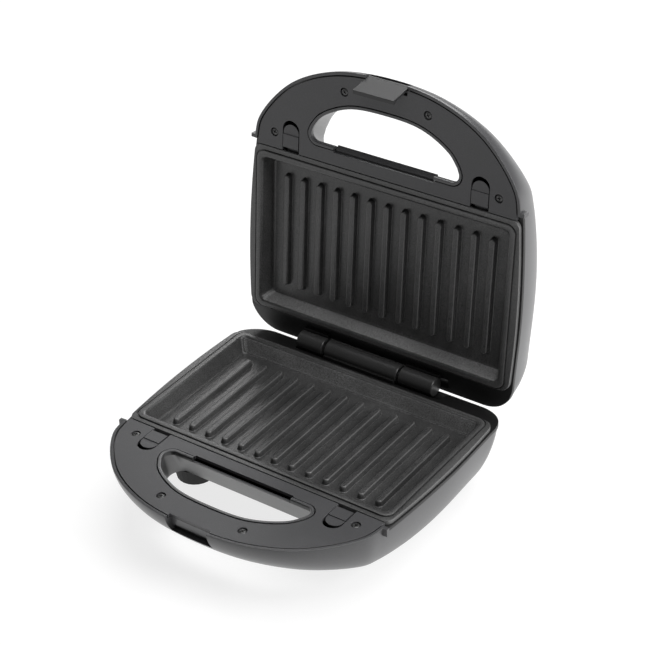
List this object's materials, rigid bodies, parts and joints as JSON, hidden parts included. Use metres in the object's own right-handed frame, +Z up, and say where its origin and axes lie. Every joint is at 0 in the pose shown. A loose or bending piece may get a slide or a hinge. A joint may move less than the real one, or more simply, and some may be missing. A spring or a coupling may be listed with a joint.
{
  "type": "panini press",
  "caption": "Open two-slice panini press with hinged clam-shell halves, ribbed removable plates, loop handles, a front clip and sliding plate latches.",
  "frame": {"origin": "bottom centre of the open press's bounding box, on the surface that its feet stand on", "axes": "+X to the right seen from the front, +Y towards the hinge and the rear, +Z up"},
  "size_m": [0.231, 0.2788, 0.2738],
  "materials": {
    "shell_grey": "satin grey",
    "cover_black": "fine matte",
    "frame_black": "satin black",
    "non_stick": "charcoal non-stick coating",
    "steel": "plain",
    "screw_black": "black oxide",
    "rubber": "matte",
    "ceramic": "ceramic-coloured moulding",
    "lens_red": "clear red",
    "lens_green": "clear green"
  },
  "bodies": {
    "base": {"base_shell": "shell_grey", "base_frame": "frame_black", "base_handle_cover": "cover_black", "base_plate": "non_stick", "base_reflector": "steel", "base_heating_element": "steel", "base_cover_screw_1": "screw_black", "base_cover_screw_2": "screw_black", "base_cover_screw_3": "screw_black", "base_cover_screw_4": "screw_black", "base_screw_1": "screw_black", "base_screw_2": "screw_black", "base_screw_3": "screw_black", "base_screw_4": "screw_black", "foot_1": "rubber", "foot_2": "rubber", "foot_3": "rubber", "foot_4": "rubber", "hinge_pin": "steel", "thermostat": "ceramic", "thermal_fuse": "steel", "terminal_block": "ceramic", "cord_gland": "rubber"},
    "lid": {"lid_shell": "shell_grey", "lid_frame": "frame_black", "lid_handle_cover": "cover_black", "lid_plate": "non_stick", "lid_reflector": "steel", "lid_heating_element": "steel", "lid_cover_screw_1": "screw_black", "lid_cover_screw_2": "screw_black", "lid_cover_screw_3": "screw_black", "lid_cover_screw_4": "screw_black", "lid_clip_pin": "steel", "power_lamp_lens": "lens_red", "ready_lamp_lens": "lens_green"},
    "clip": {"lid_clip": "cover_black"},
    "base_latch_l": {"base_latch_left": "cover_black", "base_latch_spring_left": "steel"},
    "base_latch_r": {"base_latch_right": "cover_black", "base_latch_spring_right": "steel"},
    "lid_latch_l": {"lid_latch_left": "cover_black", "lid_latch_spring_left": "steel"},
    "lid_latch_r": {"lid_latch_right": "cover_black", "lid_latch_spring_right": "steel"}
  },
  "joints": [
    {"name": "lid_hinge", "type": "hinge", "parent": "base", "child": "lid", "pos_m": [0, 0.081, 0.05475], "axis": [1, 0, 0], "range_deg": [0, 95.9]},
    {"name": "clip_hinge", "type": "hinge", "parent": "lid", "child": "clip", "pos_m": [0, 0.10867, 0.26944], "axis": [-1, 0, 0], "range_deg": [0, 28]},
    {"name": "base_latch_left_slide", "type": "slide", "parent": "base", "child": "base_latch_l", "axis": [0, -1, 0], "range_m": [0, 0.003], "stiffness_N_per_m": 600, "springref_m": -0.003},
    {"name": "base_latch_right_slide", "type": "slide", "parent": "base", "child": "base_latch_r", "axis": [0, -1, 0], "range_m": [0, 0.003], "stiffness_N_per_m": 600, "springref_m": -0.003},
    {"name": "lid_latch_left_slide", "type": "slide", "parent": "lid", "child": "lid_latch_l", "axis": [0, 0.1028, 0.9947], "range_m": [0, 0.003], "stiffness_N_per_m": 600, "springref_m": -0.003},
    {"name": "lid_latch_right_slide", "type": "slide", "parent": "lid", "child": "lid_latch_r", "axis": [0, 0.1028, 0.9947], "range_m": [0, 0.003], "stiffness_N_per_m": 600, "springref_m": -0.003}
  ]
}
